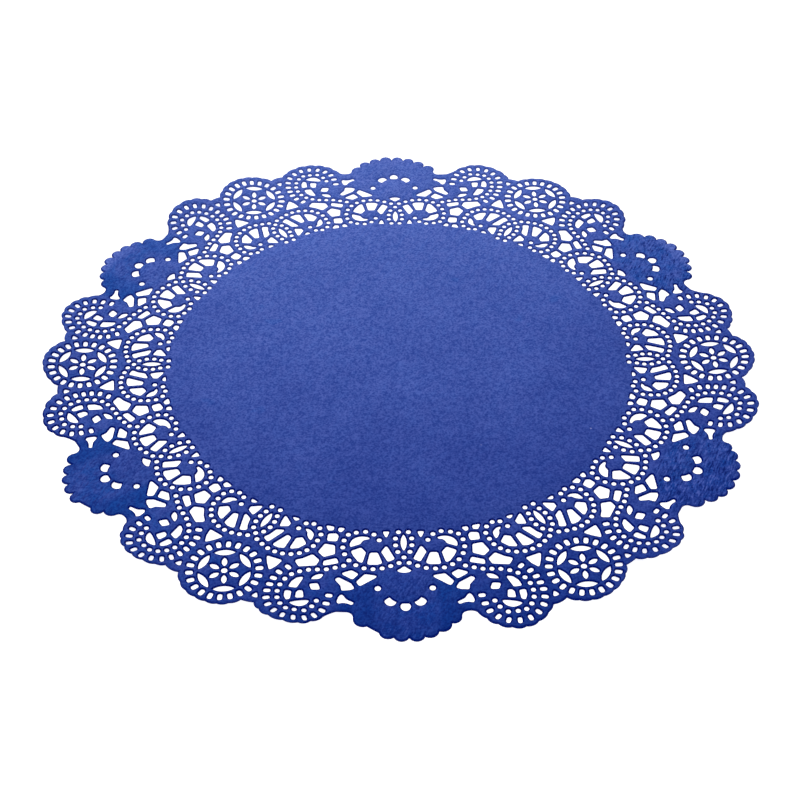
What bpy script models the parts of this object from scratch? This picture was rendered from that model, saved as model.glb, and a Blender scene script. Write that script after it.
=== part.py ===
"""Round lace doily: one sheet of embossed, die-cut paper, laid flat.

The rim repeats six times. Each sector has a toothed fan on its axis, a scalloped lobe on
either side of it, and a round rosette where two sectors meet. Sizes are in millimetres on
the sheet. A sector is drawn with its fan axis along +Y and its middle at the origin.
"""
from math import asin, atan2, cos, degrees, hypot, pi, radians, sin

import bmesh
import bpy
from mathutils import Vector
from mathutils.geometry import delaunay_2d_cdt

MM = 0.001
SECTORS = 6
SECTOR_DEG = 360.0 / SECTORS

# the paper stands 1 mm high over its embossed ribs
SHEET_THICKNESS = 1.0

# middle of the sheet to the middle of a rosette, and the rosette's scallops
ROSETTE_DISTANCE = 135.0
ROSETTE_SCALLOPS = 7
ROSETTE_BULGE = 0.55

# points that each scallop of the edge is rounded with
STEPS_PER_SCALLOP = 4

# edge of one sector, from its left end to its right: where a scallop starts, and how far
# it bulges out (less than 0: a hollow)
EDGE = (
    # x, y, bulge
    (-59.7, 132.2, 0.6),
    (-54.4, 135.1, 0.4),
    (-52.3, 138.4, 0.7),
    (-48.2, 142.2, 0.8),
    (-43.5, 144.4, 0.8),
    (-38.4, 144.9, 0.8),
    (-33.5, 143.8, 0.8),
    (-29.6, 141.4, 0.4),
    # shoulder between lobe and fan
    (-26.3, 138.4, -0.5),
    (-22.3, 138.0, -0.5),
    # teeth of the fan, which lean a little to one side
    (-20.4, 140.4, 1.3),
    (-16.0, 143.9, 1.5),
    (-11.4, 147.5, 1.4),
    (-6.4, 149.9, 1.7),
    (-1.0, 150.2, 1.6),
    (4.75, 149.8, 1.5),
    (9.4, 148.5, 1.6),
    (13.9, 144.5, 1.7),
    # shoulder and the second lobe
    (19.3, 140.7, -0.8),
    (21.6, 137.9, 0.0),
    (25.6, 138.0, -0.2),
    (30.3, 140.9, 0.7),
    (34.9, 143.5, 0.8),
    (39.6, 144.6, 0.8),
    (45.2, 143.6, 0.8),
    (50.6, 140.7, 0.8),
    (54.0, 137.2, 0.6),
    (55.9, 133.5, 0.2),
)
EDGE_END = (60.5, 131.7)

# the largest cells of the net on the right of the fan axis; the left is their mirror image
CELLS = {
    # cell: its corners (x, y), anticlockwise
    "arch_left": ((6.6, 104.4), (9.1, 108.7), (6.3, 114.4), (2.9, 112.5)),
    "arch_top": ((9.6, 108.5), (13.2, 108.5), (14.6, 115.4), (10.0, 115.6), (7.6, 114.8)),
    "arch_right": ((13.9, 108.7), (16.1, 105.7), (20.7, 107.8), (19.5, 110.7), (17.8, 113.5), (15.5, 115.1)),
    "arch_crescent": ((16.3, 104.9), (15.5, 103.3), (12.7, 102.4), (13.0, 100.9), (16.5, 100.1),
                      (19.5, 101.6), (21.0, 104.2), (20.7, 106.3)),
    "fan_foot": ((15.5, 119.2), (19.1, 123.4), (17.5, 126.4), (9.1, 120.6)),
    "fan_side": ((20.1, 123.8), (25.1, 120.5), (27.3, 121.8), (24.7, 125.3), (24.4, 128.1),
                 (21.0, 127.8), (18.3, 127.0)),
    "net_wide": ((34.4, 108.7), (38.3, 110.8), (42.1, 111.8), (39.9, 115.8), (32.9, 115.3), (31.4, 112.3)),
    "net_pentagon": ((25.8, 104.6), (30.2, 103.5), (33.1, 108.1), (30.5, 111.3), (25.6, 109.7)),
    "low_arch_left": ((38.4, 100.0), (41.4, 100.6), (44.4, 107.0), (39.9, 106.4), (36.5, 104.1)),
    "low_arch_top": ((42.4, 100.6), (44.2, 98.4), (51.0, 104.1), (47.7, 106.0), (45.2, 106.4)),
    "low_arch_right": ((44.3, 96.3), (49.3, 96.0), (51.8, 98.5), (54.5, 100.1), (52.3, 103.5)),
    "rosette_gap": ((47.7, 115.1), (45.2, 111.9), (52.5, 108.8), (52.0, 113.2), (51.1, 117.6)),
}

# the edge curls up off the table in soft folds
FOLDS = (
    # bearing of its middle in degrees from +X, half its width in degrees, lift 148 mm out
    (352.0, 28.0, 2.5),
    (47.0, 15.0, 0.7),
    (126.0, 22.0, 2.3),
    (175.0, 18.0, 1.5),
    (227.0, 14.0, 1.2),
    (252.0, 14.0, 1.2),
    (311.0, 18.0, 2.2),
)
CURL_FROM = 130.0
CURL_FULL = 148.0
CURL_POWER = 1.6

# rings of extra points that let the curl start softly
SOFT_RINGS = (132.0, 138.0)
SOFT_STEP_DEG = 5.0

PAPER_COLOUR = (0.052, 0.085, 0.365, 1.0)
PAPER_ROUGHNESS = 0.85


def turned(points, angle_deg):
    """The points turned anticlockwise about the middle of the sheet."""
    c = cos(radians(angle_deg))
    s = sin(radians(angle_deg))
    return [(c * x - s * y, s * x + c * y) for x, y in points]


def scallop(start, end, bulge):
    """An arc from start up to, but without, end, standing out by bulge on its left."""
    span = Vector(end) - Vector(start)
    along = span.normalized()
    out = Vector((-along.y, along.x))
    half_span = span.length / 2
    steps = range(STEPS_PER_SCALLOP)
    if abs(bulge) < 1e-6:
        return [tuple(Vector(start) + span * (i / STEPS_PER_SCALLOP)) for i in steps]
    radius = (half_span ** 2 + bulge ** 2) / (2 * abs(bulge))
    half_angle = asin(min(1.0, half_span / radius))
    side = 1 if bulge > 0 else -1
    points = []
    for i in steps:
        angle = half_angle * (2 * i / STEPS_PER_SCALLOP - 1)
        rise = radius * (cos(angle) - cos(half_angle)) * side
        points.append(tuple(Vector(start) + along * (half_span + radius * sin(angle)) + out * rise))
    return points


def rosette_edge(start, end):
    """Scallops around the outside of the rosette that follows a sector."""
    bearing = radians(90 - SECTOR_DEG / 2)
    middle = (ROSETTE_DISTANCE * cos(bearing), ROSETTE_DISTANCE * sin(bearing))
    first = (start[0] - middle[0], start[1] - middle[1])
    last = (end[0] - middle[0], end[1] - middle[1])
    corners = []
    for i in range(ROSETTE_SCALLOPS + 1):
        share = i / ROSETTE_SCALLOPS
        angle = atan2(first[1], first[0]) * (1 - share) + atan2(last[1], last[0]) * share
        radius = hypot(*first) * (1 - share) + hypot(*last) * share
        corners.append((middle[0] + radius * cos(angle), middle[1] + radius * sin(angle)))
    points = []
    for a, b in zip(corners, corners[1:]):
        points += scallop(a, b, ROSETTE_BULGE)
    return points


def sector_edge():
    """Edge of one sector and of the rosette on its right, clockwise."""
    starts = [(x, y) for x, y, bulge in EDGE] + [EDGE_END]
    points = []
    for i, row in enumerate(EDGE):
        points += scallop(starts[i], starts[i + 1], row[2])
    next_start = turned(starts[:1], -SECTOR_DEG)[0]
    return points + rosette_edge(EDGE_END, next_start)


def sheet_edge():
    """The whole edge, clockwise."""
    points = []
    for k in range(SECTORS):
        points += turned(sector_edge(), -SECTOR_DEG * k)
    return points


def net_cells():
    """Corner loops of all the cells, each kind twelve times round the rim."""
    loops = []
    for corners in CELLS.values():
        mirrored = [(-x, y) for x, y in corners]
        for k in range(SECTORS):
            loops.append(turned(corners, SECTOR_DEG * k))
            loops.append(turned(mirrored, SECTOR_DEG * k))
    return loops


def soft_points():
    """Loose points on the rings where the curl begins."""
    count = round(360 / SOFT_STEP_DEG)
    return [(r * cos(2 * pi * i / count), r * sin(2 * pi * i / count))
            for r in SOFT_RINGS for i in range(count)]


def curl_at(x, y):
    """Height of the sheet's underside above the table."""
    reach = hypot(x, y) - CURL_FROM
    if reach <= 0:
        return 0.0
    bearing = degrees(atan2(y, x))
    lift = 0.0
    for middle, half_width, height in FOLDS:
        aside = abs((bearing - middle + 180) % 360 - 180)
        if aside < half_width:
            lift += height * cos(pi / 2 * aside / half_width) ** 2
    return lift * (reach / (CURL_FULL - CURL_FROM)) ** CURL_POWER


def sheet_triangles():
    """The sheet's plan as points and triangles, with the cells left open."""
    points = []
    loops = []
    for loop in [sheet_edge()] + net_cells():
        first = len(points)
        points += [Vector(p) for p in loop]
        loops.append(list(range(first, first + len(loop))))
    points += [Vector(p) for p in soft_points()]
    plan, _, triangles, _, _, _ = delaunay_2d_cdt(points, [], loops, 2, 1e-5)
    return plan, triangles


def build_sheet():
    """A closed body: the plan at the underside, again at the top, and walls between."""
    plan, triangles = sheet_triangles()
    bm = bmesh.new()
    low = []
    high = []
    for p in plan:
        z = curl_at(p.x, p.y)
        low.append(bm.verts.new((p.x * MM, p.y * MM, z * MM)))
        high.append(bm.verts.new((p.x * MM, p.y * MM, (z + SHEET_THICKNESS) * MM)))
    open_sides = {}
    for tri in triangles:
        a, b, c = tri
        bm.faces.new((high[a], high[b], high[c]))
        bm.faces.new((low[c], low[b], low[a]))
        for p, q in ((a, b), (b, c), (c, a)):
            if open_sides.pop((q, p), None) is None:
                open_sides[(p, q)] = True
    for p, q in open_sides:
        bm.faces.new((high[q], high[p], low[p], low[q]))
    loose = [v for v in bm.verts if not v.link_faces]
    bmesh.ops.delete(bm, geom=loose, context='VERTS')
    bmesh.ops.recalc_face_normals(bm, faces=bm.faces)
    bmesh.ops.triangulate(bm, faces=bm.faces)
    mesh = bpy.data.meshes.new("doily")
    bm.to_mesh(mesh)
    bm.free()
    sheet = bpy.data.objects.new("doily", mesh)
    bpy.context.scene.collection.objects.link(sheet)
    return sheet


def paper_material():
    """Deep blue, matt paper."""
    material = bpy.data.materials.new("paper")
    material.use_nodes = True
    shader = material.node_tree.nodes["Principled BSDF"]
    shader.inputs["Base Color"].default_value = PAPER_COLOUR
    shader.inputs["Roughness"].default_value = PAPER_ROUGHNESS
    shader.inputs["Metallic"].default_value = 0.0
    return material


def main():
    for item in list(bpy.data.objects):
        bpy.data.objects.remove(item, do_unlink=True)
    sheet = build_sheet()
    sheet.data.materials.append(paper_material())


main()
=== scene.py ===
"""Look of the lace doily: the whole chart of its rim punched through one embossed sheet.

Lengths are in millimetres on the sheet until the mesh is made, and in metres in the
materials and on the stage. A sector is drawn with its fan axis along +Y. Its edge is drawn
from end to end, but its holes only on the right: those on the left are their mirror images.
"""
from math import asin, atan2, cos, degrees, exp, hypot, pi, radians, sin, tan

import bmesh
import bpy
from mathutils import Matrix, Vector
from mathutils.geometry import delaunay_2d_cdt
from mathutils.kdtree import KDTree


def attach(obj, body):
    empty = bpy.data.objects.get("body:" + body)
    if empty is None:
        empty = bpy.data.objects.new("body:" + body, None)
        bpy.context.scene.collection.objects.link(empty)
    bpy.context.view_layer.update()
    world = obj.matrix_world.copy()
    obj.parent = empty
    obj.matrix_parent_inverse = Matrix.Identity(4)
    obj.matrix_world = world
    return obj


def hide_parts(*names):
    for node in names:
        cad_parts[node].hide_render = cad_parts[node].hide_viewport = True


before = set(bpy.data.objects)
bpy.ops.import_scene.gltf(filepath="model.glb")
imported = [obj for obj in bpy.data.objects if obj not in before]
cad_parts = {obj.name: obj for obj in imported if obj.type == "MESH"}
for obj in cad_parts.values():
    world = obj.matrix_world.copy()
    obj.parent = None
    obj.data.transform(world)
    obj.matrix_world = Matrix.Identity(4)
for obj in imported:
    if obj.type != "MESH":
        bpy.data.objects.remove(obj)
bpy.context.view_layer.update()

MM = 0.001
SECTORS = 6
SECTOR_DEG = 60.0

# ---- the sheet
# the slope of a rib, up from its foot at the edge of a hole: (in from that edge, height)
RIB_SECTION = ((0.18, 0.25), (0.60, 0.48))
# the outer edge is pressed over a slope this many times as wide
EDGE_SLOPE = 1.3
# a slope takes at most this share of the paper between two holes
SLOPE_SHARE = 0.42
# spacing of the places where the paper between the holes is measured
ROOM_STEP = 0.5

# the cells are charted to the outside of their dark rims: the cut lies this far inside
RIM = 0.21

# the press stands a little off from a perfect mirror image: (x, y) by which the holes of a fan
# and of its right lobe are moved. In the left lobe, y is turned round
FAN_DRIFT = (-0.21, 0.0)
LOBE_DRIFT = (-0.15, -0.27)
ROSETTE_TURN_DEG = 1.8

# points round a dot, and along a span of a curved cell and of a row of dots
DOT_STEPS = 14
CURVE_STEPS = 3
ROW_STEPS = 2
# spacing of the points along the straight sides of a cell
SIDE_STEP = 1.3
# the rounding of a corner ends before it has used up this share of either side
CORNER_REACH = 0.48
# it keeps clear of the corner itself by this share of the way to each of its ends
CORNER_EASE = 0.04
SLOT_ROUNDING = 0.75

DOT_WIDTH = 1.86
# the largest dot of a fan: (x, y, width)
FAN_DOT = (10.2, 126.95, 2.34)
# slots: (length, width)
SLOT = (2.66, 1.66)
ROSETTE_SLOT = (2.9, 1.82)

# pointed ovals: (distance, length, width, bluntness). On the fan axis, and on the line that runs
# out to a rosette, there is one, and a dot farther out
AXIS_DOT_DISTANCE = 111.6
AXIS_LENS = (104.05, 8.1, 2.3, 0.8)
GAP_DOT_DISTANCE = 113.25
GAP_LENS = (105.6, 8.0, 2.3, 0.8)

# a rosette: a hub, petals that point out from it, pointed ovals across their ends, and slots
# round them all, each with its distance from the hub
ROSETTE_DISTANCE = 135.0
HUB_WIDTH = 2.35
PETALS = 6
PETAL = (4.3, 4.0, 2.05, 0.75)
PETAL_STEPS = 7
ROSETTE_LENS = (9.0, 7.8, 2.6, 0.85)
ROSETTE_SLOTS = 22
ROSETTE_SLOT_DISTANCE = 13.15

# rows of dots: (group, every second dot of the row, single dots that follow)
DOT_ROWS = {
    "arch": ("net", ((1.9, 114.4), (8.3, 117.0), (15.1, 116.8), (20.8, 112.7), (23.2, 106.1), (21.1, 99.6),
                     (14.5, 98.2)), ((11.3, 99.7), (9.3, 102.7))),
    "low_arch": ("net", ((56.0, 101.2), (51.7, 105.9), (46.0, 108.7), (39.6, 108.6), (34.4, 105.1),
                         (31.6, 99.3)), ((32.1, 96.0), (34.4, 93.7), (37.4, 93.4), (40.2, 95.9))),
    "lens": ("net", (), ((2.3, 108.8), (3.1, 105.4), (3.1, 101.9), (1.9, 98.6))),
    "low_lens": ("net", (), ((53.6, 97.4), (51.2, 95.2), (49.6, 92.4), (48.7, 89.4), (47.6, 86.3))),
    "lobe": ("lobe", ((22.9, 115.6), (29.4, 117.2), (36.1, 117.3), (42.4, 119.3), (46.6, 124.4),
                      (47.5, 131.1), (44.3, 136.9), (37.5, 138.1)), ((34.6, 135.7), (32.9, 132.8))),
}
# the row of slots round the lobe, in the same way, and how far they lean from square across it
SLOT_ROW = (((28.3, 130.2), (30.8, 137.7), (37.4, 142.1), (45.5, 141.0), (50.8, 134.8), (51.3, 127.4),
             (49.1, 121.1)), ((47.1, 118.2), (43.8, 115.8)))
SLOT_LEAN_DEG = 6.0

# straight-sided cells: (group, rounding of the corners, corners)
CELLS = {
    "fan_long": ("fan", 0.8, ((9.3, 120.7), (17.1, 126.0), (18.5, 123.4), (15.1, 119.5))),
    "fan_big": ("fan", 0.8, ((18.45, 126.9), (20.75, 127.6), (23.95, 127.8), (24.25, 125.2), (26.65, 121.9),
                             (24.85, 120.8), (20.05, 124.0))),
    "fan_kite": ("fan", 0.7, ((19.6, 122.55), (24.6, 119.05), (20.0, 117.45), (17.0, 119.55))),
    "foot": ("net", 0.5, ((6.6, 102.3), (8.3, 98.0), (5.0, 98.0))),
    "arch_left": ("net", 0.7, ((3.2, 112.4), (6.2, 114.1), (8.8, 108.7), (6.6, 104.9))),
    "arch_top": ("net", 0.9, ((7.9, 114.6), (10.0, 115.3), (14.3, 115.2), (13.0, 108.8), (9.8, 108.8))),
    "arch_right": ("net", 0.8, ((15.7, 114.7), (17.6, 113.3), (19.3, 110.6), (20.4, 107.9), (16.2, 106.0),
                                (14.2, 108.8))),
    "net_top": ("net", 0.8, ((24.3, 114.15), (31.0, 115.45), (30.5, 112.55), (25.4, 111.15))),
    "net_wide": ("net", 0.9, ((31.7, 112.3), (33.1, 115.1), (39.8, 115.5), (41.7, 112.0), (38.2, 111.0),
                              (34.5, 109.0))),
    "net_pentagon": ("net", 0.8, ((25.9, 109.5), (30.4, 111.0), (32.8, 108.1), (30.1, 103.8), (26.0, 104.8))),
    "net_square": ("net", 0.9, ((25.3, 103.2), (29.5, 102.7), (29.0, 98.7), (25.5, 98.6), (24.6, 100.2))),
    "net_small": ("net", 0.7, ((24.0, 98.75), (25.3, 97.35), (24.9, 95.55), (21.7, 96.05))),
    "net_low": ("net", 0.7, ((26.7, 97.4), (28.8, 97.5), (30.3, 94.1), (26.2, 95.2))),
    "low_arch_left": ("net", 0.8, ((36.8, 104.0), (40.0, 106.2), (44.0, 106.7), (41.2, 100.8),
                                   (38.5, 100.3))),
    "low_arch_top": ("net", 0.8, ((45.3, 106.1), (47.6, 105.8), (50.6, 104.1), (44.2, 98.8), (42.7, 100.6))),
    "low_arch_right": ("net", 0.8, ((51.9, 103.0), (53.8, 100.1), (51.3, 98.6), (48.9, 96.2), (44.5, 96.4))),
    "funnel": ("net", 0.6, ((43.05, 93.3), (44.15, 94.9), (47.95, 94.9), (46.95, 91.8), (45.45, 88.4))),
    "kernel": ("net", 0.7, ((39.1, 91.0), (41.4, 92.3), (42.4, 91.1), (42.9, 89.4))),
    "rosette_gap": ("net", 0.6, ((50.9, 117.2), (51.8, 113.2), (52.2, 109.2), (45.6, 112.0), (47.9, 114.9))),
    "edge_gap": ("lobe", 0.6, ((54.35, 131.7), (57.45, 130.1), (54.75, 127.6))),
    "lobe_square": ("lobe", 0.7, ((37.5, 131.3), (41.1, 131.5), (40.7, 128.3), (39.7, 127.2), (37.9, 127.3))),
    "lobe_tall": ("lobe", 0.8, ((42.6, 131.9), (44.4, 132.8), (45.2, 130.1), (44.9, 127.0), (42.0, 127.6))),
    "lobe_rhomb": ("lobe", 0.8, ((31.2, 127.4), (35.0, 127.3), (36.1, 124.0), (32.4, 123.8))),
    "lobe_wing": ("lobe", 0.7, ((37.3, 120.3), (40.3, 126.3), (43.9, 125.7), (42.5, 122.7), (40.5, 120.9))),
}
# curved cells: (group, points on their line)
CURVED = {
    "shell_side": ("fan", ((3.2, 133.7), (4.1, 135.1), (5.6, 135.6), (7.2, 134.8), (7.95, 133.2),
                           (7.2, 132.1), (5.9, 131.25), (5.0, 132.2), (4.1, 133.0))),
    "bone": ("fan", ((19.1, 133.4), (19.5, 134.5), (20.3, 134.65), (21.4, 134.1), (23.3, 133.75),
                     (24.9, 134.0), (25.6, 132.9), (25.3, 131.5), (24.7, 130.1), (23.8, 129.4),
                     (22.9, 129.9), (21.9, 131.5), (20.7, 132.4))),
    "arch_crescent": ("net", ((20.3, 106.0), (20.7, 104.4), (20.0, 102.6), (18.6, 101.2), (16.5, 100.5),
                              (14.5, 100.6), (13.0, 101.2), (13.1, 102.2), (14.9, 102.6), (15.8, 103.5),
                              (16.5, 104.6), (18.4, 105.4))),
    "low_crescent": ("net", ((35.4, 102.2), (34.6, 101.0), (34.2, 99.2), (34.7, 97.8), (36.0, 96.4),
                             (37.5, 96.1), (37.5, 97.0), (36.95, 98.0), (37.0, 99.3), (36.4, 101.2))),
    "lobe_moon": ("lobe", ((35.55, 132.9), (36.35, 134.5), (37.85, 135.6), (39.55, 136.0), (41.25, 135.5),
                           (42.75, 134.5), (42.95, 133.7), (41.25, 133.0), (38.95, 132.55), (36.55, 132.4))),
    "lobe_leaf": ("lobe", ((30.45, 120.2), (31.6, 121.8), (33.4, 122.15), (35.1, 122.0), (34.7, 120.8),
                           (33.4, 119.8), (31.9, 119.35), (30.7, 119.5))),
}
# curved cells on the fan axis itself
ON_AXIS = {
    "half_moon": ("net", ((-2.8, 118.2), (-1.8, 119.2), (0.0, 119.55), (1.8, 119.2), (2.8, 118.2),
                          (1.5, 117.1), (0.0, 116.0), (-1.5, 117.1))),
    "shell_top": ("fan", ((-1.35, 134.25), (-2.05, 135.3), (-1.95, 136.5), (-1.2, 137.6), (0.0, 138.05),
                          (1.2, 137.6), (1.95, 136.5), (2.05, 135.3), (1.35, 134.25), (0.0, 134.2))),
}

# edge of one sector from left to right: where a scallop starts, and how far it bulges out
# (less than 0: a hollow)
EDGE = (
    # x, y, bulge: scallops of the left lobe
    (-59.7, 132.2, 0.6),
    (-54.4, 135.1, 0.4),
    (-52.3, 138.4, 0.7),
    (-48.2, 142.2, 0.8),
    (-43.5, 144.4, 0.8),
    (-38.4, 144.9, 0.8),
    (-33.5, 143.8, 0.8),
    (-29.6, 141.4, 0.4),
    # shoulder between lobe and fan
    (-26.3, 138.4, -0.5),
    (-22.3, 138.0, -0.5),
    # teeth of the fan, which lean a little to one side
    (-20.7, 140.2, 1.3),
    (-16.5, 143.7, 1.5),
    (-11.9, 147.3, 1.4),
    (-6.9, 149.7, 1.7),
    (-1.1, 150.2, 1.6),
    (4.5, 149.9, 1.5),
    (9.7, 148.2, 1.6),
    (14.2, 144.4, 1.7),
    # shoulder, and the scallops of the right lobe
    (19.3, 140.7, -0.8),
    (21.6, 137.9, 0.0),
    (25.6, 138.0, -0.2),
    (30.3, 140.9, 0.7),
    (34.9, 143.5, 0.8),
    (39.6, 144.6, 0.8),
    (45.2, 143.6, 0.8),
    (50.6, 140.7, 0.8),
    (54.0, 137.2, 0.6),
    (55.9, 133.5, 0.2),
)
EDGE_END = (60.5, 131.7)
ROSETTE_SCALLOPS = 7
ROSETTE_BULGE = 0.55
STEPS_PER_SCALLOP = 6
# rows of EDGE, from 0, that differ from fan to fan. The sectors are counted from 0,
# anticlockwise, and for each: (how far those rows are shifted along X, how many times as deep)
FAN_ROWS = range(11, 18)
FAN_TEETH = ((0.1, 1.7), (0.1, 1.3), (-0.1, 1.5), (0.0, 1.1), (-0.7, 1.2), (0.2, 1.5))
# teeth that are folded under along a nearly straight line: (sector, row of EDGE)
FOLDED_TEETH = ((3, 16), (2, 12))
FOLDED_BULGE = 0.05
# where rows of EDGE start in one sector only: (sector, row): place
EDGE_AT = {
    (3, 11): (-16.9, 143.6),
    (3, 12): (-12.1, 147.3),
    (3, 16): (9.9, 147.6),
    (3, 17): (14.2, 144.6),
}
# places where the edge stands out from its drawn line, or in
SWELLS = (
    # bearing of its middle in degrees from +X, half its width in degrees, how far out
    (5.0, 4.0, 1.0),
    (15.0, 5.0, 0.8),
    (47.0, 9.0, 1.7),
    (74.0, 7.0, 0.8),
    (104.0, 18.0, 1.3),
    (131.0, 7.0, 1.3),
    (163.0, 8.0, 1.0),
    (184.0, 6.0, -0.7),
    (228.0, 6.0, -0.9),
    (240.0, 4.0, -0.7),
    (253.0, 9.0, -1.6),
    (287.0, 7.0, 1.1),
    (305.0, 12.0, -0.8),
    (350.0, 6.0, 0.9),
)
# where the sheet is pulled askew
PULLS = (
    # bearing in degrees and distance of the place, how far it reaches, pull along X and Y
    (50.0, 120.0, 38.0, 0.0, -0.5),
    (88.0, 112.0, 26.0, 0.1, -0.3),
    (140.0, 100.0, 34.0, 0.0, 0.3),
    (195.0, 132.0, 34.0, 0.2, -0.2),
    (270.0, 134.0, 26.0, -0.1, 0.4),
    (292.0, 118.0, 26.0, -0.1, -0.2),
    (330.0, 130.0, 26.0, 0.0, 0.3),
    # lobes whose rims are drawn in
    (228.0, 156.0, 14.0, 0.6, 0.7),
    (253.0, 156.0, 14.0, 0.6, 1.9),
    (310.0, 156.0, 14.0, -0.5, 0.6),
)

# the edge curls up off the table in soft folds
FOLDS = (
    # bearing of its middle in degrees from +X, half its width in degrees, lift 148 mm out
    (352.0, 28.0, 2.5),
    (47.0, 15.0, 0.7),
    (126.0, 22.0, 2.3),
    (175.0, 18.0, 1.5),
    (227.0, 14.0, 1.2),
    (252.0, 14.0, 1.2),
    (311.0, 18.0, 2.2),
)
CURL_FROM = 130.0
CURL_FULL = 148.0
CURL_POWER = 1.6

# loose points in rings on the plain middle: their spacing, and the radius that they stay inside
SOFT_SPACING = 8
SOFT_END = 96


# ---- curves
def turned(points, angle_deg):
    """The points turned anticlockwise about the middle of the sheet."""
    c = cos(radians(angle_deg))
    s = sin(radians(angle_deg))
    return [(c * x - s * y, s * x + c * y) for x, y in points]


def placed(points, x, y, angle):
    """Points turned by an angle in radians and then moved to (x, y)."""
    c = cos(angle)
    s = sin(angle)
    return [(x + c * px - s * py, y + s * px + c * py) for px, py in points]


def smooth(knots, closed, steps):
    """A Catmull-Rom curve through the knots, with this many points to each span."""
    k = [Vector(p) for p in knots]
    n = len(k)
    points = []
    for i in range(n if closed else n - 1):
        b = k[i]
        c = k[(i + 1) % n]
        a = k[i - 1] if closed or i else b * 2 - c
        d = k[(i + 2) % n] if closed or i + 2 < n else c * 2 - b
        for j in range(steps):
            t = j / steps
            points.append((b * 2 + (c - a) * t + (a * 2 - b * 5 + c * 4 - d) * t * t
                           + (b * 3 - a - c * 3 + d) * t ** 3) / 2)
    if not closed:
        points.append(k[-1])
    return [tuple(p) for p in points]


def loop_area(points):
    """Area inside a loop, less than 0 if it runs clockwise."""
    return sum(a[0] * b[1] - b[0] * a[1] for a, b in zip(points, points[1:] + points[:1])) / 2


def anticlockwise(points):
    """The loop, turned round if it runs clockwise."""
    return points if loop_area(points) > 0 else points[::-1]


def grown(points, distances):
    """An anticlockwise loop with its sides moved outwards, by a distance for each point."""
    p = [Vector(q) for q in points]
    out = []
    for i, b in enumerate(p):
        before = (b - p[i - 1]).normalized()
        after = (p[(i + 1) % len(p)] - b).normalized()
        outward = Vector((before.y, -before.x))
        mitre = outward + Vector((after.y, -after.x))
        mitre = mitre / max(1e-6, mitre.dot(outward))
        # a sharp corner moves by no more than twice the distance
        if mitre.length > 2.0:
            mitre = mitre * (2.0 / mitre.length)
        out.append(tuple(b + mitre * distances[i]))
    return out


def cut_inside(points):
    """The cut of a cell that is charted to the outside of its dark rim."""
    loop = anticlockwise(points)
    return grown(loop, [-RIM] * len(loop))


# ---- the shapes of the punches
def ring_points(x, y, radius, count):
    """Points evenly round a circle, anticlockwise."""
    angles = [2 * pi * i / count for i in range(count)]
    return [(x + radius * cos(a), y + radius * sin(a)) for a in angles]


def dot(x, y, width):
    """A round hole."""
    return ring_points(x, y, width / 2, DOT_STEPS)


def rounded(corners, radius, steps=3):
    """A straight-sided loop with its corners rounded and points along its longer sides."""
    p = [Vector(q) for q in corners]
    arcs = []
    for i, b in enumerate(p):
        u = p[i - 1] - b
        v = p[(i + 1) % len(p)] - b
        half = max(0.05, u.angle(v) / 2)
        # where the corner is as good as straight, its tangent would have no bound
        cut = radius / tan(half) if half < 1.57 else radius
        a = b + u.normalized() * min(cut, CORNER_REACH * u.length)
        c = b + v.normalized() * min(cut, CORNER_REACH * v.length)
        knee = b * (1 - 2 * CORNER_EASE) + (a + c) * CORNER_EASE
        shares = [j / steps for j in range(steps + 1)]
        arcs.append([a * (1 - t) ** 2 + knee * (2 * t * (1 - t)) + c * t * t for t in shares])
    out = []
    for arc, following in zip(arcs, arcs[1:] + arcs[:1]):
        side = following[0] - arc[-1]
        count = int(side.length / SIDE_STEP)
        out += arc + [arc[-1] + side * j / (count + 1) for j in range(1, count + 1)]
    return [tuple(q) for q in out]


def slot(x, y, size, angle):
    """A short slot with round corners, its length along angle."""
    a = size[0] / 2
    b = size[1] / 2
    corners = ((-a, -b), (a, -b), (a, b), (-a, b))
    return placed(rounded(corners, SLOT_ROUNDING, steps=2), x, y, angle)


def row_places(line, single):
    """Places along a line that is given by every second of them, and then single ones."""
    return (smooth(line, False, ROW_STEPS) if line else []) + list(single)


def slots_along(places):
    """Slots at the places of a row, each standing across the row."""
    loops = []
    for i, (x, y) in enumerate(places):
        before = places[max(0, i - 1)]
        after = places[min(len(places) - 1, i + 1)]
        along = atan2(after[1] - before[1], after[0] - before[0])
        loops.append(slot(x, y, SLOT, along + radians(90 + SLOT_LEAN_DEG)))
    return loops


def lens(bearing, row, across=False, steps=9):
    """A pointed oval from a row (distance, length, width, bluntness), lying along its bearing
    in radians or across it."""
    distance, length, width, blunt = row
    a = length / 2
    b = width / 2
    turns = [pi * i / steps for i in range(steps + 1)]
    low = [(-a * cos(t), -b * sin(t) ** (2 * blunt)) for t in turns]
    loop = low + [(x, -y) for x, y in low[-2:0:-1]]
    angle = bearing + pi / 2 if across else bearing
    return placed(loop, distance * cos(bearing), distance * sin(bearing), angle)


# ---- the chart
def half_sector():
    """(group, loop) of each hole on the right of the fan axis."""
    holes = []
    for group, line, single in DOT_ROWS.values():
        holes += [(group, dot(x, y, DOT_WIDTH)) for x, y in row_places(line, single)]
    holes += [("lobe", loop) for loop in slots_along(row_places(*SLOT_ROW))]
    holes.append(("fan", dot(*FAN_DOT)))
    for group, radius, corners in CELLS.values():
        holes.append((group, rounded(cut_inside(list(corners)), radius)))
    for group, knots in CURVED.values():
        holes.append((group, cut_inside(smooth(knots, True, CURVE_STEPS))))
    return holes


def axis_holes():
    """(group, loop) of the holes on the fan axis."""
    holes = [(group, cut_inside(smooth(knots, True, CURVE_STEPS)))
             for group, knots in ON_AXIS.values()]
    holes.append(("net", dot(0.0, AXIS_DOT_DISTANCE, DOT_WIDTH)))
    holes.append(("net", lens(pi / 2, AXIS_LENS)))
    return holes


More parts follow.
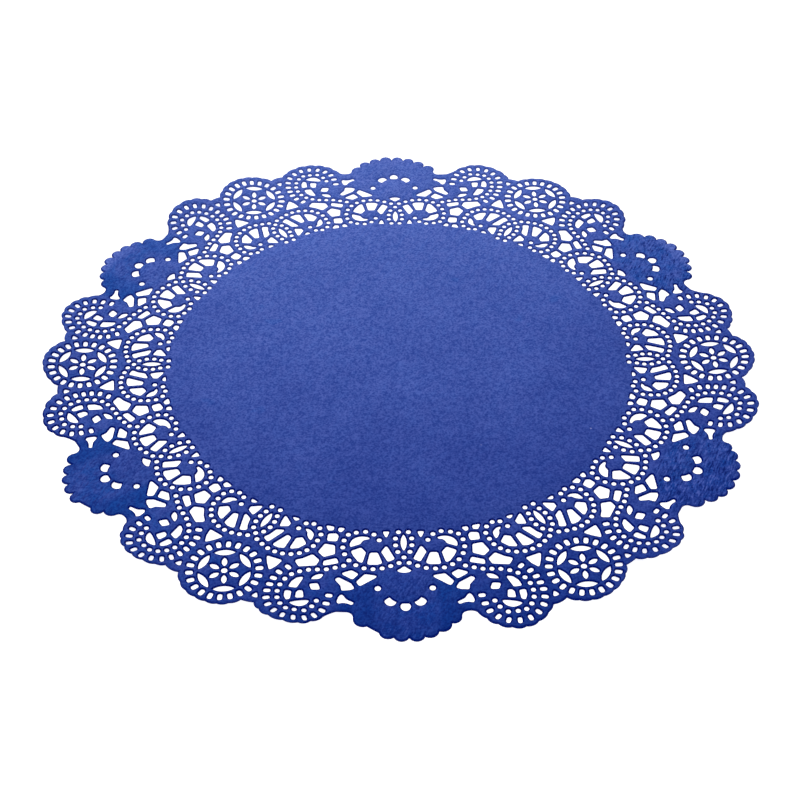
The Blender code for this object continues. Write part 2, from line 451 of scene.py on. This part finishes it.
def rosette_holes():
    """Loops of one rosette about its own middle, with the sheet's middle towards -X."""
    holes = [dot(0.0, 0.0, HUB_WIDTH)]
    for i in range(PETALS):
        a = 2 * pi * (i + 0.5) / PETALS
        holes.append(lens(a, PETAL, steps=PETAL_STEPS))
        holes.append(lens(a, ROSETTE_LENS, across=True))
    for i in range(ROSETTE_SLOTS):
        a = 2 * pi * (i + 0.5) / ROSETTE_SLOTS
        x = ROSETTE_SLOT_DISTANCE * cos(a)
        y = ROSETTE_SLOT_DISTANCE * sin(a)
        holes.append(slot(x, y, ROSETTE_SLOT, a))
    return holes


def shifted(loop, group, side):
    """A loop moved by the drift of its part of the press. The side is 1 on the right, else -1."""
    drifts = {"fan": FAN_DRIFT, "lobe": (LOBE_DRIFT[0], side * LOBE_DRIFT[1]), "net": (0.0, 0.0)}
    dx, dy = drifts[group]
    return [(x + dx, y + dy) for x, y in loop]


def all_holes():
    """Every hole of the sheet, anticlockwise."""
    loops = []
    half = half_sector()
    for k in range(SECTORS):
        turn = SECTOR_DEG * k
        for side in (1, -1):
            for group, loop in half:
                mirrored = [(side * x, y) for x, y in loop]
                loops.append(turned(shifted(mirrored, group, side), turn))
        for group, loop in axis_holes():
            loops.append(turned(shifted(loop, group, 1), turn))
        for loop in rosette_holes():
            loop = turned(loop, ROSETTE_TURN_DEG)
            loops.append(turned([(x + ROSETTE_DISTANCE, y) for x, y in loop], turn))
        loops.append(turned(lens(0.0, GAP_LENS), turn))
        loops.append(turned(dot(GAP_DOT_DISTANCE, 0.0, DOT_WIDTH), turn))
    return [anticlockwise(pulled(loop)) for loop in loops]


def pulled(loop):
    """A loop moved with the sheet where that is pulled askew."""
    points = []
    for x, y in loop:
        dx = dy = 0.0
        for bearing, distance, reach, across, along in PULLS:
            px, py = turned([(distance, 0.0)], bearing)[0]
            share = exp(-((x - px) ** 2 + (y - py) ** 2) / reach ** 2)
            dx += across * share
            dy += along * share
        points.append((x + dx, y + dy))
    return points


def scallop(start, end, bulge):
    """An arc from start up to, but without, end, standing out by bulge on its left."""
    span = Vector(end) - Vector(start)
    along = span.normalized()
    out = Vector((-along.y, along.x))
    half_span = span.length / 2
    radius = (half_span ** 2 + bulge ** 2) / (2 * max(abs(bulge), 1e-3))
    half_angle = asin(min(1.0, half_span / radius))
    side = 1 if bulge > 0 else -1
    points = []
    for i in range(STEPS_PER_SCALLOP):
        angle = half_angle * (2 * i / STEPS_PER_SCALLOP - 1)
        rise = radius * (cos(angle) - cos(half_angle)) * side
        points.append(tuple(Vector(start) + along * (half_span + radius * sin(angle)) + out * rise))
    return points


def rosette_edge(start, end):
    """Scallops around the outside of the rosette that follows a sector."""
    bearing = radians(90 - SECTOR_DEG / 2)
    middle = (ROSETTE_DISTANCE * cos(bearing), ROSETTE_DISTANCE * sin(bearing))
    first = (start[0] - middle[0], start[1] - middle[1])
    last = (end[0] - middle[0], end[1] - middle[1])
    corners = []
    for i in range(ROSETTE_SCALLOPS + 1):
        share = i / ROSETTE_SCALLOPS
        angle = atan2(first[1], first[0]) * (1 - share) + atan2(last[1], last[0]) * share
        radius = hypot(*first) * (1 - share) + hypot(*last) * share
        corners.append((middle[0] + radius * cos(angle), middle[1] + radius * sin(angle)))
    points = []
    for a, b in zip(corners, corners[1:]):
        points += scallop(a, b, ROSETTE_BULGE)
    return points


def sheet_edge():
    """The whole edge, anticlockwise."""
    points = []
    for k in range(SECTORS, 0, -1):
        sector = k % SECTORS
        shift, depth = FAN_TEETH[sector]
        starts = []
        for i, (x, y, bulge) in enumerate(EDGE):
            drawn = (x + shift, y) if i in FAN_ROWS else (x, y)
            starts.append(EDGE_AT.get((sector, i), drawn))
        starts.append(EDGE_END)
        edge = []
        for i, (x, y, bulge) in enumerate(EDGE):
            if i in FAN_ROWS:
                bulge *= depth
            if (sector, i) in FOLDED_TEETH:
                bulge = FOLDED_BULGE
            edge += scallop(starts[i], starts[i + 1], bulge)
        edge += rosette_edge(EDGE_END, turned(starts[:1], -SECTOR_DEG)[0])
        points += turned(edge, SECTOR_DEG * k)
    return [swollen(x, y) for x, y in points[::-1]]


def hump(x, y, rows):
    """Sum of the soft humps of a table at the bearing of (x, y)."""
    bearing = degrees(atan2(y, x))
    total = 0.0
    for middle, half_width, height in rows:
        aside = abs((bearing - middle + 180) % 360 - 180)
        if aside < half_width:
            total += height * cos(pi / 2 * aside / half_width) ** 2
    return total


def swollen(x, y):
    """A point of the edge, moved out or in where the edge swells or shrinks."""
    size = 1 + hump(x, y, SWELLS) / hypot(x, y)
    return (x * size, y * size)


# ---- the sheet as it lies
def lift_at(x, y):
    """Height of the sheet's underside over the table."""
    reach = hypot(x, y) - CURL_FROM
    if reach <= 0:
        return 0.0
    return hump(x, y, FOLDS) * (reach / (CURL_FULL - CURL_FROM)) ** CURL_POWER


def soft_points():
    """Loose points in rings, so that the plain middle has even triangles."""
    points = [(0.0, 0.0)]
    for radius in range(SOFT_SPACING, SOFT_END, SOFT_SPACING):
        points += ring_points(0.0, 0.0, radius, round(2 * pi * radius / SOFT_SPACING))
    return points


def plan(loops, loose):
    """(points, triangles, where each point of the loops is) of the area between loops."""
    given = [Vector(p) for loop in loops for p in loop] + [Vector(p) for p in loose]
    faces = []
    first = 0
    for loop in loops:
        faces.append(list(range(first, first + len(loop))))
        first += len(loop)
    points, _, triangles, sources, _, _ = delaunay_2d_cdt(given, [], faces, 2, 1e-5)
    where = {}
    for i, source in enumerate(sources):
        for j in source:
            where[j] = i
    return points, triangles, where


def layer(bm, loops, loose, height, top):
    """One face of the sheet. Returns the corners of each loop."""
    points, triangles, where = plan(loops, loose)
    used = {i for tri in triangles for i in tri}
    verts = {i: bm.verts.new((points[i].x, points[i].y, lift_at(*points[i]) + height)) for i in used}
    for a, b, c in triangles:
        order = (a, b, c) if top else (c, b, a)
        bm.faces.new([verts[i] for i in order])
    rows = []
    first = 0
    for loop in loops:
        rows.append([verts[where[first + i]] for i in range(len(loop))])
        first += len(loop)
    return rows


def strip(bm, upper, lower, outward):
    """A band of faces between two loops of the same length."""
    n = len(upper)
    for i in range(n):
        j = (i + 1) % n
        quad = (upper[i], lower[i], lower[j], upper[j])
        bm.faces.new(quad if outward else quad[::-1])


def rib_room(loops):
    """For each point of each loop, how much of the rib's slope fits before the next hole."""
    samples = []
    for n, loop in enumerate(loops):
        for a, b in zip(loop, loop[1:] + loop[:1]):
            steps = max(1, round(hypot(b[0] - a[0], b[1] - a[1]) / ROOM_STEP))
            samples += [(n, a[0] + (b[0] - a[0]) * i / steps, a[1] + (b[1] - a[1]) * i / steps)
                        for i in range(steps)]
    tree = KDTree(len(samples))
    for i, (n, x, y) in enumerate(samples):
        tree.insert((x, y, 0.0), i)
    tree.balance()
    rooms = []
    for n, loop in enumerate(loops):
        slope = RIB_SECTION[-1][0] * (1.0 if n else EDGE_SLOPE)
        room = []
        for x, y in loop:
            found = tree.find_range((x, y, 0.0), slope / SLOPE_SHARE)
            gaps = [distance for place, i, distance in found if samples[i][0] != n]
            room.append(min(1.0, SLOPE_SHARE * min(gaps) / slope) if gaps else 1.0)
        rooms.append(room)
    return rooms


def build_sheet():
    """The sheet: flat-topped ribs whose sides slope down to the edges of the holes."""
    edge = sheet_edge()
    holes = all_holes()
    loops = [edge] + holes
    rooms = rib_room(loops)
    sections = []
    for inward, height in RIB_SECTION:
        moved = []
        for n, loop in enumerate(loops):
            way = inward if n else -inward * EDGE_SLOPE
            moved.append(grown(loop, [way * room for room in rooms[n]]))
        sections.append((moved, height))
    bm = bmesh.new()
    rows = layer(bm, loops, soft_points(), 0.0, False)
    top_loops, top_height = sections[-1]
    top = layer(bm, top_loops, soft_points(), top_height, True)
    for moved, height in sections[:-1]:
        shelf = [[bm.verts.new((x, y, lift_at(x, y) + height)) for x, y in loop] for loop in moved]
        for n in range(len(loops)):
            strip(bm, shelf[n], rows[n], n == 0)
        rows = shelf
    for n in range(len(loops)):
        strip(bm, top[n], rows[n], n == 0)
    bmesh.ops.triangulate(bm, faces=[f for f in bm.faces if len(f.verts) > 3])
    bmesh.ops.scale(bm, vec=(MM, MM, MM), verts=bm.verts)
    mesh = bpy.data.meshes.new("doily_paper")
    bm.to_mesh(mesh)
    bm.free()
    mesh.shade_smooth()
    mesh.set_sharp_from_angle(angle=radians(30))
    sheet = bpy.data.objects.new("doily_paper", mesh)
    bpy.context.scene.collection.objects.link(sheet)
    return sheet, holes


# ---- material helpers
class Graph:
    """Short calls for building a material's nodes."""

    def __init__(self, name):
        self.material = bpy.data.materials.new(name)
        self.material.use_nodes = True
        self.nodes = self.material.node_tree.nodes
        self.shader = self.nodes["Principled BSDF"]

    def link(self, source, target):
        self.material.node_tree.links.new(source, target)

    def feed(self, value, socket):
        if isinstance(value, bpy.types.NodeSocket):
            self.link(value, socket)
        else:
            socket.default_value = value

    def math(self, operation, *values):
        node = self.nodes.new("ShaderNodeMath")
        node.operation = operation
        for value, socket in zip(values, node.inputs):
            self.feed(value, socket)
        return node.outputs[0]

    def carried(self, operation, *values):
        """One operation of two numbers, carried on through all the values."""
        total = values[0]
        for value in values[1:]:
            total = self.math(operation, total, value)
        return total

    def product(self, *values):
        return self.carried('MULTIPLY', *values)

    def largest(self, *values):
        return self.carried('MAXIMUM', *values)

    def length(self, a, b):
        """Length of the vector (a, b)."""
        return self.math('SQRT', self.math('ADD', self.product(a, a), self.product(b, b)))

    def distance(self, a, b):
        """How far two numbers lie apart."""
        return self.math('ABSOLUTE', self.math('SUBTRACT', a, b))

    def span(self, value, low, high, to_low=0.0, to_high=1.0):
        """A soft step from one number to another, while value goes from low to high."""
        node = self.nodes.new("ShaderNodeMapRange")
        node.interpolation_type = 'SMOOTHSTEP'
        self.feed(value, node.inputs["Value"])
        node.inputs["From Min"].default_value = low
        node.inputs["From Max"].default_value = high
        node.inputs["To Min"].default_value = to_low
        node.inputs["To Max"].default_value = to_high
        return node.outputs["Result"]

    def mix(self, share, a, b, blend='MIX'):
        node = self.nodes.new("ShaderNodeMix")
        node.data_type = 'RGBA'
        node.blend_type = blend
        self.feed(share, node.inputs["Factor"])
        self.feed(a, node.inputs["A"])
        self.feed(b, node.inputs["B"])
        return node.outputs["Result"]

    def place(self, turn_deg=0.0, narrow=1.0, aside=0.0):
        """Object coordinates for a texture that is moved along X, turned about Z, and then
        made narrow along its own X."""
        coordinates = self.nodes.new("ShaderNodeTexCoord").outputs["Object"]
        mapping = self.nodes.new("ShaderNodeMapping")
        mapping.vector_type = 'TEXTURE'
        mapping.inputs["Location"].default_value = (aside, 0.0, 0.0)
        mapping.inputs["Rotation"].default_value = (0.0, 0.0, radians(turn_deg))
        mapping.inputs["Scale"].default_value = (narrow, 1.0, 1.0)
        self.link(coordinates, mapping.inputs["Vector"])
        return mapping.outputs["Vector"]

    def split(self, vector):
        node = self.nodes.new("ShaderNodeSeparateXYZ")
        self.link(vector, node.inputs[0])
        return node.outputs["X"], node.outputs["Y"], node.outputs["Z"]

    def ramp(self, value, stops):
        """A colour that changes evenly from one stop to the next."""
        first = stops[0][0]
        last = stops[-1][0]
        share = self.math('DIVIDE', self.math('SUBTRACT', value, first), last - first)
        node = self.nodes.new("ShaderNodeValToRGB")
        self.link(share, node.inputs["Fac"])
        for position, colour in stops[1:-1]:
            node.color_ramp.elements.new((position - first) / (last - first))
        for element, (position, colour) in zip(node.color_ramp.elements, stops):
            element.color = colour + (1.0,)
        return node.outputs["Color"]

    def noise(self, place, per_metre, detail=3.0, rough=0.6):
        node = self.nodes.new("ShaderNodeTexNoise")
        node.inputs["Scale"].default_value = per_metre
        node.inputs["Detail"].default_value = detail
        node.inputs["Roughness"].default_value = rough
        self.link(place, node.inputs["Vector"])
        return node.outputs["Fac"]


# ---- the paper's material
# the paper's blue with a painted wash of light across the sheet: deep at its near right, and pale at its far
# left, where a painted sheen lies on it
BLUE_AND_LIGHT_WASH = (
    # metres across from the middle, colour
    (-0.160, (0.008, 0.030, 0.214)),
    (-0.125, (0.018, 0.042, 0.255)),
    (-0.105, (0.025, 0.050, 0.271)),
    (-0.075, (0.030, 0.057, 0.288)),
    (0.000, (0.048, 0.084, 0.356)),
    (0.140, (0.077, 0.124, 0.442)),
)
# what is left of each colour where the sheet is deepened to pure blue (which takes in the painted shade of
# the wings and of a bent line), and again in the painted shade of the wings of the nearer fans
PURE_BLUE_AND_SHADE = (0.13, 0.80, 0.94, 1.0)
WING_SHADE = (0.65, 0.80, 0.88, 1.0)
# colours that are laid over the blue and its painted wash of light
PALE_STROKE = (0.060, 0.090, 0.370, 1.0)
DARK_STROKE = (0.0, 0.014, 0.150, 1.0)
FAR_STROKE = (0.040, 0.092, 0.400, 1.0)
PALE_TIP = BLUE_AND_LIGHT_WASH[-1][1] + (1.0,)
PALE_FLECK = (0.30, 0.32, 0.62, 1.0)
# a painted dark line of shade along the edge of a disc stamped into a fan
PRESSED_LINE_SHADE = (0.001, 0.012, 0.150, 1.0)
# painted shade in the walls of the cuts: a lighter colour on the far side, the darkest on the near side
FAR_WALL_SHADE = (0.042, 0.075, 0.33, 1.0)
NEAR_WALL_SHADE = (0.0, 0.0050, 0.130, 1.0)
# how far the mottling goes up and down in red, green and blue, and the grain that it follows
MOTTLE = (0.54, 0.39, 0.21)
GRAIN_RANGE = (0.62, 1.18)
# the upright part of a face's normal, where a slope begins to count as a wall and where it does
WALL = (0.975, 0.895)

# places on the sheet in metres, each as (where it begins to show, where it shows in full)
FAN_SIDE = (0.028, 0.023)
FAN_FOOT = (0.1185, 0.1225)
FAN_BRIM = (0.1290, 0.1360)
FAN_TIP = (0.1445, 0.1490)
WING = (0.008, 0.014)
NET = (0.113, 0.120)
RIGHT = (0.03, 0.09)
FAR = (0.02, 0.09)
# the pressed disc of a fan, whose outer side takes a painted dark line of shade, and the line along which the
# sheet is bent, which takes painted shade
DISC_DISTANCE = 0.1269
DISC_RADIUS = 0.0073
BEND_SHADE_RADIUS = 0.1334

# the rollers left long strokes: the bearing square across them, and how narrow they are
STROKE_DEG = -25.5
STROKE_NARROW = 0.22
BLOT_NARROW = 0.6
LONG_STROKE_NARROW = 0.07

# textures: cells in a metre
STROKES = 300.0
LONG_STROKES = 70.0
BLOTS = 110.0
CLOUDS = 30.0
SPOTS = 60.0
FLECKS = 90.0
FINE_FIBRES = 1250.0
COARSE_FIBRES = 420.0


class Paper(Graph):
    """The doily's material, with the places and textures that its layers share."""

    def __init__(self):
        super().__init__("embossed_paper")
        self.flat = self.place()
        self.x, self.y = self.split(self.flat)[:2]
        self.radius = self.length(self.x, self.y)
        self.bearing = self.math('ARCTAN2', self.y, self.x)

        # where a point lies from the axis of its fan: out along it and aside of it
        turn = self.math('SUBTRACT', self.math('FLOORED_MODULO', self.bearing, pi / 3), pi / 6)
        self.out = self.product(self.radius, self.math('COSINE', turn))
        self.aside = self.math('ABSOLUTE', self.product(self.radius, self.math('SINE', turn)))

        # 1 at the near right and 0 at the far left, and the same within the fans only
        self.across = self.light_wash_run()
        self.near = self.span(self.across, -0.06, 0.16, 1.0, 0.0)
        self.fan = self.product(self.span(self.aside, *FAN_SIDE), self.span(self.out, *FAN_FOOT))
        self.nearer_fan = self.product(self.fan, self.near)

        # strokes of the rollers, and patches of purer dye
        self.stroke = self.noise(self.place(STROKE_DEG, STROKE_NARROW), STROKES)
        blot = self.noise(self.place(STROKE_DEG, BLOT_NARROW), BLOTS, 5.0, 0.68)
        blend = self.math('ADD', self.product(blot, 0.6), self.product(self.stroke, 0.4))
        self.patch = self.span(blend, 0.42, 0.60)
        self.shaded_wing = self.fan_wing_shade()
        self.brushed = self.product(self.nearer_fan, self.span(self.x, 0.02, 0.08, 0.55, 1.5))

    def light_wash_run(self):
        """How far a point lies along the painted wash of light, from the near right to the far left."""
        lean = self.span(self.x, -0.10, 0.10, -0.015, 0.015)
        bow = self.product(self.x, self.x, 2.2)
        # far out to the left and right the painted wash is deeper, and more so on the far side
        ends = self.span(self.math('ABSOLUTE', self.x), 0.06, 0.11)
        side = self.product(ends, self.math('MULTIPLY_ADD', self.y, 0.3, 0.0165))
        cloud = self.noise(self.flat, CLOUDS)
        run = self.carried('SUBTRACT', self.y, lean, bow, side)
        return self.math('ADD', run, self.product(self.math('SUBTRACT', cloud, 0.5), 0.14))

    def fan_wing_shade(self):
        """Painted shade: the darker wings on both sides of the nearer fans, apart from the fans on the right.
        """
        beside = self.product(self.span(self.aside, *WING), self.span(self.x, 0.02, 0.06, 1.0, 0.0))
        return self.product(beside, self.nearer_fan, self.math('MULTIPLY_ADD', self.patch, 0.35, 0.65))

    def deep_blue_and_shade_share(self):
        """How far the colour is deepened to pure blue: in the nearer fans and lobes, in patches and spots,
        and as painted shade in the wings of the nearer fans and along a bent line.
        """
        brim = self.largest(self.span(self.out, *FAN_BRIM, 0.45, 1.0), self.span(self.x, *RIGHT, 0.45, 1.0))
        fans = self.product(self.nearer_fan, brim, self.math('MULTIPLY_ADD', self.patch, 0.8, 0.15))
        rim = self.product(self.span(self.radius, *NET), self.near, self.patch,
                           self.span(self.x, *RIGHT, 0.45, 0.15))
        spots = self.noise(self.place(aside=0.3), SPOTS)
        spots = self.span(spots, 0.64, 0.72, 0.0, 0.35)
        return self.largest(fans, self.shaded_wing, rim, self.product(self.patch, 0.17), spots, self.bend_shade())

    def bend_shade(self):
        """Painted shade that darkens the sheet along its near left side, where it is bent."""
        line = self.span(self.distance(self.radius, BEND_SHADE_RADIUS), 0.0002, 0.0050, 0.80, 0.0)
        begins = self.span(self.bearing, -2.80, -2.66)
        ends = self.span(self.bearing, -1.58, -1.42, 1.0, 0.0)
        return self.product(line, begins, ends, self.math('MULTIPLY_ADD', self.patch, 0.5, 0.5))

    def blue_under_light_wash(self):
        """The paper's blue under its painted wash of light, deepened in purer patches and in the painted
        shade of the wings and of a bent line.
        """
        colour = self.ramp(self.across, BLUE_AND_LIGHT_WASH)
        colour = self.mix(self.deep_blue_and_shade_share(), colour, PURE_BLUE_AND_SHADE, 'MULTIPLY')
        return self.mix(self.shaded_wing, colour, WING_SHADE, 'MULTIPLY')

    def fan_strokes(self, colour):
        """Pale and dark strokes over the nearer fans."""
        pale = self.product(self.span(self.stroke, 0.52, 0.66, 0.0, 0.42), self.brushed,
                            self.math('SUBTRACT', 1.0, self.shaded_wing))
        dark = self.product(self.span(self.stroke, 0.34, 0.48, 0.60, 0.0), self.brushed)
        return self.mix(dark, self.mix(pale, colour, PALE_STROKE), DARK_STROKE)

    def far_strokes(self, colour):
        """Long faint strokes over the far side."""
        long_stroke = self.noise(self.place(STROKE_DEG, LONG_STROKE_NARROW), LONG_STROKES)
        share = self.product(self.span(long_stroke, 0.52, 0.62, 0.0, 0.42), self.span(self.y, *FAR))
        return self.mix(share, colour, FAR_STROKE)

    def pale_tips(self, colour):
        """Paler tips of the fans on the far side."""
        tip = self.product(self.span(self.out, *FAN_TIP, 0.0, 0.80), self.span(self.y, -0.10, 0.06))
        return self.mix(self.product(tip, self.fan), colour, PALE_TIP)

    def grain(self):
        """The paper's fibres at two sizes, brushed along the strokes."""
        fine = self.noise(self.flat, FINE_FIBRES, 1.0, 0.5)
        coarse = self.noise(self.flat, COARSE_FIBRES)
        fibres = self.math('MULTIPLY_ADD', coarse, 0.45, fine)
        pull = self.math('MULTIPLY_ADD', self.brushed, 0.5, 0.35)
        brush = self.math('SUBTRACT', self.stroke, 0.5)
        return self.math('MULTIPLY_ADD', brush, pull, self.math('ADD', fibres, 0.175))

    def mottled(self, colour, grain):
        """The colour times a tint that follows the grain: red takes it most and blue least."""
        tint = self.nodes.new("ShaderNodeCombineColor")
        for i, depth in enumerate(MOTTLE):
            self.link(self.span(grain, *GRAIN_RANGE, 1.0 - depth, 1.0 + depth), tint.inputs[i])
        return self.mix(1.0, colour, tint.outputs[0], 'MULTIPLY')

    def flecked(self, colour):
        """A few pale flecks."""
        voronoi = self.nodes.new("ShaderNodeTexVoronoi")
        voronoi.inputs["Scale"].default_value = FLECKS
        self.link(self.flat, voronoi.inputs["Vector"])
        pick = self.span(self.split(voronoi.outputs["Color"])[0], 0.90, 0.92)
        fleck = self.product(self.span(voronoi.outputs["Distance"], 0.02, 0.05, 0.55, 0.0), pick)
        return self.mix(fleck, colour, PALE_FLECK)

    def pressed_line_shade(self, colour):
        """Painted shade: a faint dark line along the outer side of a disc stamped into each nearer fan."""
        from_middle = self.length(self.math('SUBTRACT', self.out, DISC_DISTANCE), self.aside)
        line = self.span(self.distance(from_middle, DISC_RADIUS), 0.0001, 0.0008, 0.55, 0.0)
        return self.mix(self.product(line, self.span(self.out, 0.128, 0.132), self.near),
                        colour, PRESSED_LINE_SHADE)

    def steepness(self):
        """1 on the walls of the cuts, 0 on the flat of the paper."""
        normal = self.nodes.new("ShaderNodeNewGeometry").outputs["True Normal"]
        return self.span(self.math('ABSOLUTE', self.split(normal)[2]), *WALL)


def paper_material():
    """Blue paper under a painted wash of light: mottled by its fibres, brushed and flecked, with painted
    shade in the cuts.
    """
    g = Paper()
    grain = g.grain()
    steep = g.steepness()
    colour = g.blue_under_light_wash()
    colour = g.fan_strokes(colour)
    colour = g.far_strokes(colour)
    colour = g.pale_tips(colour)
    colour = g.mottled(colour, grain)
    colour = g.flecked(colour)
    colour = g.pressed_line_shade(colour)
    # painted shade: the walls of the cuts take a darker colour, darkest on the near side, and hardly shine
    colour = g.mix(steep, colour, g.mix(g.near, FAR_WALL_SHADE, NEAR_WALL_SHADE))
    g.link(colour, g.shader.inputs["Base Color"])
    g.link(g.math('MULTIPLY_ADD', steep, -0.04, 0.04), g.shader.inputs["Specular IOR Level"])
    g.link(g.span(grain, *GRAIN_RANGE, 0.85, 0.65), g.shader.inputs["Roughness"])
    g.shader.inputs["Sheen Weight"].default_value = 0.01
    g.shader.inputs["Sheen Roughness"].default_value = 0.5

    bump = g.nodes.new("ShaderNodeBump")
    bump.inputs["Strength"].default_value = 0.3
    bump.inputs["Distance"].default_value = 0.0001
    g.link(grain, bump.inputs["Height"])
    g.link(bump.outputs["Normal"], g.shader.inputs["Normal"])
    return g.material


# ---- stage
# half the side of the white table, and its height: a hair below the sheet's underside
TABLE_HALF = 15.0
TABLE_HEIGHT = -0.0002
TABLE_GREY = 0.60
TABLE_GLOW = 0.82

# a large soft lamp beyond the far left, and the even light all round
LAMP_PLACE = (-0.9, 1.3, 1.2)
LAMP_SIZE = 1.0
LAMP_WATTS = 16.0
ROOM_LIGHT = 0.85

# the camera looks down at 43 degrees, from a little to one side. Its tilt, roll and turn are in
# radians, and it aims at a place on the table a little nearer than the sheet's middle
CAMERA_TILT = 0.7493
CAMERA_ROLL = 0.0027
CAMERA_TURN = 0.0198
CAMERA_DISTANCE = 0.675324
CAMERA_AIM = (0.000486, -0.024138)
CAMERA_FOCAL_PX = 1619.2553
PICTURE_PX = 800.0
SENSOR_MM = 36.0


def floor():
    """A plain white table, bright as a lit one."""
    bm = bmesh.new()
    bmesh.ops.create_grid(bm, x_segments=1, y_segments=1, size=TABLE_HALF)
    mesh = bpy.data.meshes.new("floor")
    bm.to_mesh(mesh)
    bm.free()
    table = bpy.data.objects.new("floor", mesh)
    table.location.z = TABLE_HEIGHT
    bpy.context.scene.collection.objects.link(table)
    g = Graph("white_table")
    g.shader.inputs["Base Color"].default_value = (TABLE_GREY, TABLE_GREY, TABLE_GREY, 1.0)
    g.shader.inputs["Roughness"].default_value = 1.0
    g.shader.inputs["Specular IOR Level"].default_value = 0.0
    g.shader.inputs["Emission Color"].default_value = (1.0, 1.0, 1.0, 1.0)
    g.shader.inputs["Emission Strength"].default_value = TABLE_GLOW
    mesh.materials.append(g.material)
    return table


def light():
    """Even light from all round, and one large soft lamp that points at the sheet."""
    scene = bpy.context.scene
    scene.view_settings.view_transform = 'Standard'
    world = bpy.data.worlds.new("studio")
    world.use_nodes = True
    background = world.node_tree.nodes["Background"]
    background.inputs["Color"].default_value = (1.0, 1.0, 1.0, 1.0)
    background.inputs["Strength"].default_value = ROOM_LIGHT
    scene.world = world
    data = bpy.data.lights.new("far_lamp", 'AREA')
    data.shape = 'DISK'
    data.size = LAMP_SIZE
    data.energy = LAMP_WATTS
    lamp = bpy.data.objects.new("far_lamp", data)
    lamp.location = LAMP_PLACE
    lamp.rotation_euler = (-Vector(LAMP_PLACE)).to_track_quat('-Z', 'Y').to_euler()
    scene.collection.objects.link(lamp)


def camera():
    """Camera at the photograph's height, turn and distance."""
    data = bpy.data.cameras.new("camera")
    data.sensor_width = SENSOR_MM
    data.lens = CAMERA_FOCAL_PX * SENSOR_MM / PICTURE_PX
    back = Vector((0.0, -cos(CAMERA_TILT), sin(CAMERA_TILT)))
    place = Vector((CAMERA_AIM[0], CAMERA_AIM[1], 0.0)) + back * CAMERA_DISTANCE
    right = Vector((1.0, 0.0, 0.0))
    up = back.cross(right)
    c = cos(CAMERA_ROLL)
    s = sin(CAMERA_ROLL)
    axes = Matrix((right * c + up * s, up * c - right * s, back)).transposed().to_4x4()
    view = bpy.data.objects.new("camera", data)
    view.matrix_world = Matrix.Rotation(-CAMERA_TURN, 4, 'Z') @ Matrix.Translation(place) @ axes
    bpy.context.scene.collection.objects.link(view)
    bpy.context.scene.camera = view


doily, punched = build_sheet()
doily.data.materials.append(paper_material())
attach(doily, "root")
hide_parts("doily")
# the paper's own area is what the punches leave inside the edge
paper_area = (loop_area(sheet_edge()) - sum(loop_area(loop) for loop in punched)) * MM * MM
table_top = floor()
light()
camera()
